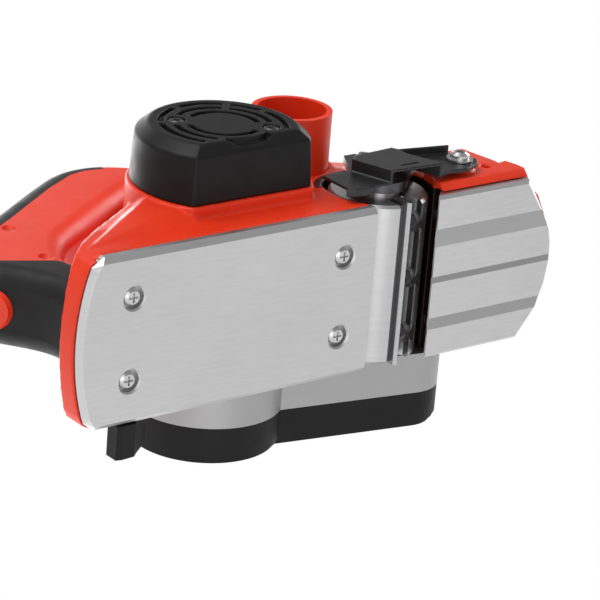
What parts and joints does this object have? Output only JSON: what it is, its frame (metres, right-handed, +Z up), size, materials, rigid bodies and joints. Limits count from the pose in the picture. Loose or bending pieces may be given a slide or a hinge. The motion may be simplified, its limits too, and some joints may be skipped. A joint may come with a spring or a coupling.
{
  "type": "electric hand planer",
  "caption": "Belt-driven hand planer: two-bladed drum between a screwed rear sole and a grooved depth-adjusting front shoe, transverse motor, side chip outlet, rabbet guard and D-handle.",
  "frame": {"origin": "on the rear sole's face, at the centre of the four sole screws", "axes": "+Z up from the sole, +X forward towards the front shoe, +Y to the belt cover's side"},
  "size_m": [0.31, 0.155, 0.1645],
  "materials": {
    "red_plastic": "semi-gloss moulded, fine grain",
    "black_plastic": "matt, fine spark-eroded grain",
    "soft_grip": "soft-touch, matt",
    "sole_aluminium": "finely milled and brushed",
    "cast_silver": "die-cast, silver lacquer",
    "machined_steel": "turned and ground",
    "dark_steel": "blackened, oiled",
    "zinc_steel": "bright zinc plated",
    "black_painted_steel": "black powder coat, semi-gloss",
    "belt_rubber": "ribbed rubber",
    "copper": "lacquered winding wire",
    "brass": "pressed",
    "carbon": "pressed carbon",
    "red_button": "gloss moulded"
  },
  "bodies": {
    "housing": {"main_housing": "red_plastic", "rear_sole": "sole_aluminium", "sole_screws": "zinc_steel", "spindle_spring": "zinc_steel", "bearing_block_right": "dark_steel", "block_screws": "zinc_steel", "drum_bearing_right": "machined_steel", "drum_bearing_left": "machined_steel", "drive_belt": "belt_rubber", "belt_housing": "cast_silver", "belt_housing_screws": "zinc_steel", "belt_cover": "black_plastic", "belt_cover_screws": "zinc_steel", "motor_stator": "dark_steel", "field_coils": "copper", "motor_bearing_cap_side": "machined_steel", "motor_bearing_belt_side": "machined_steel", "brush_holders": "brass", "carbon_brushes": "carbon", "brush_springs": "zinc_steel", "motor_cap": "black_plastic", "motor_cap_screws": "dark_steel", "chip_outlet": "red_plastic", "handle_shell_right": "red_plastic", "handle_shell_left": "red_plastic", "handle_screws": "zinc_steel", "top_grip": "soft_grip", "rear_grip_right": "soft_grip", "rear_grip_left": "soft_grip", "cord_inlet": "red_button", "switch_body": "black_plastic", "trigger_spring": "zinc_steel", "lock_spring": "zinc_steel", "guard_screw": "zinc_steel", "guard_spring": "zinc_steel", "foot_pin": "zinc_steel"},
    "drum": {"cutter_drum": "machined_steel", "drum_shaft": "machined_steel", "drum_blades": "machined_steel", "blade_backers": "dark_steel", "gib_bars": "dark_steel", "gib_bolts": "dark_steel", "drum_pulley": "machined_steel"},
    "armature": {"armature_shaft": "machined_steel", "armature_core": "dark_steel", "commutator": "copper", "cooling_fan": "black_plastic", "motor_pulley": "machined_steel"},
    "shoe": {"front_shoe": "sole_aluminium", "shoe_guide_posts": "machined_steel"},
    "knob": {"depth_knob": "black_plastic", "depth_spindle": "zinc_steel", "depth_scale_ring": "cast_silver"},
    "trigger": {"trigger": "black_plastic"},
    "lock_button": {"lock_button": "red_button"},
    "guard": {"rabbet_guard": "black_painted_steel"},
    "foot": {"parking_foot": "black_plastic"}
  },
  "joints": [
    {"name": "drum_spin", "type": "hinge", "parent": "housing", "child": "drum", "pos_m": [0.095, 0, 0.0245], "axis": [0, 1, 0], "continuous": true},
    {"name": "motor_spin", "type": "hinge", "parent": "housing", "child": "armature", "pos_m": [0.02, 0, 0.049], "axis": [0, 1, 0], "continuous": true},
    {"name": "knob_turn", "type": "hinge", "parent": "housing", "child": "knob", "pos_m": [0.147, 0, 0.064], "axis": [0, 0, 1], "range_deg": [0, 340]},
    {"name": "shoe_slide", "type": "slide", "parent": "housing", "child": "shoe", "axis": [0, 0, 1], "range_m": [0, 0.0026], "deforming": ["spindle_spring"]},
    {"name": "trigger_pull", "type": "slide", "parent": "housing", "child": "trigger", "axis": [-0.5446, 0, 0.8387], "range_m": [0, 0.006], "stiffness_N_per_m": 600, "springref_m": -0.003, "deforming": ["trigger_spring"]},
    {"name": "lock_press", "type": "slide", "parent": "housing", "child": "lock_button", "axis": [0, -1, 0], "range_m": [0, 0.003], "stiffness_N_per_m": 500, "springref_m": -0.002, "deforming": ["lock_spring"]},
    {"name": "guard_swing", "type": "hinge", "parent": "housing", "child": "guard", "pos_m": [0.139, 0, 0.019], "axis": [0, 1, 0], "range_deg": [0, 14], "stiffness_Nm_per_rad": 0.2, "springref_deg": -28.65, "deforming": ["guard_spring"]},
    {"name": "foot_swing", "type": "hinge", "parent": "housing", "child": "foot", "pos_m": [-0.044, 0, 0.017], "axis": [0, 1, 0], "range_deg": [-62, 0]}
  ],
  "couplings": [
    {"joint": "motor_spin", "follows": "drum_spin", "ratio": 1.6038},
    {"joint": "knob_turn", "follows": "shoe_slide", "rad_per_m": 2282.1}
  ]
}
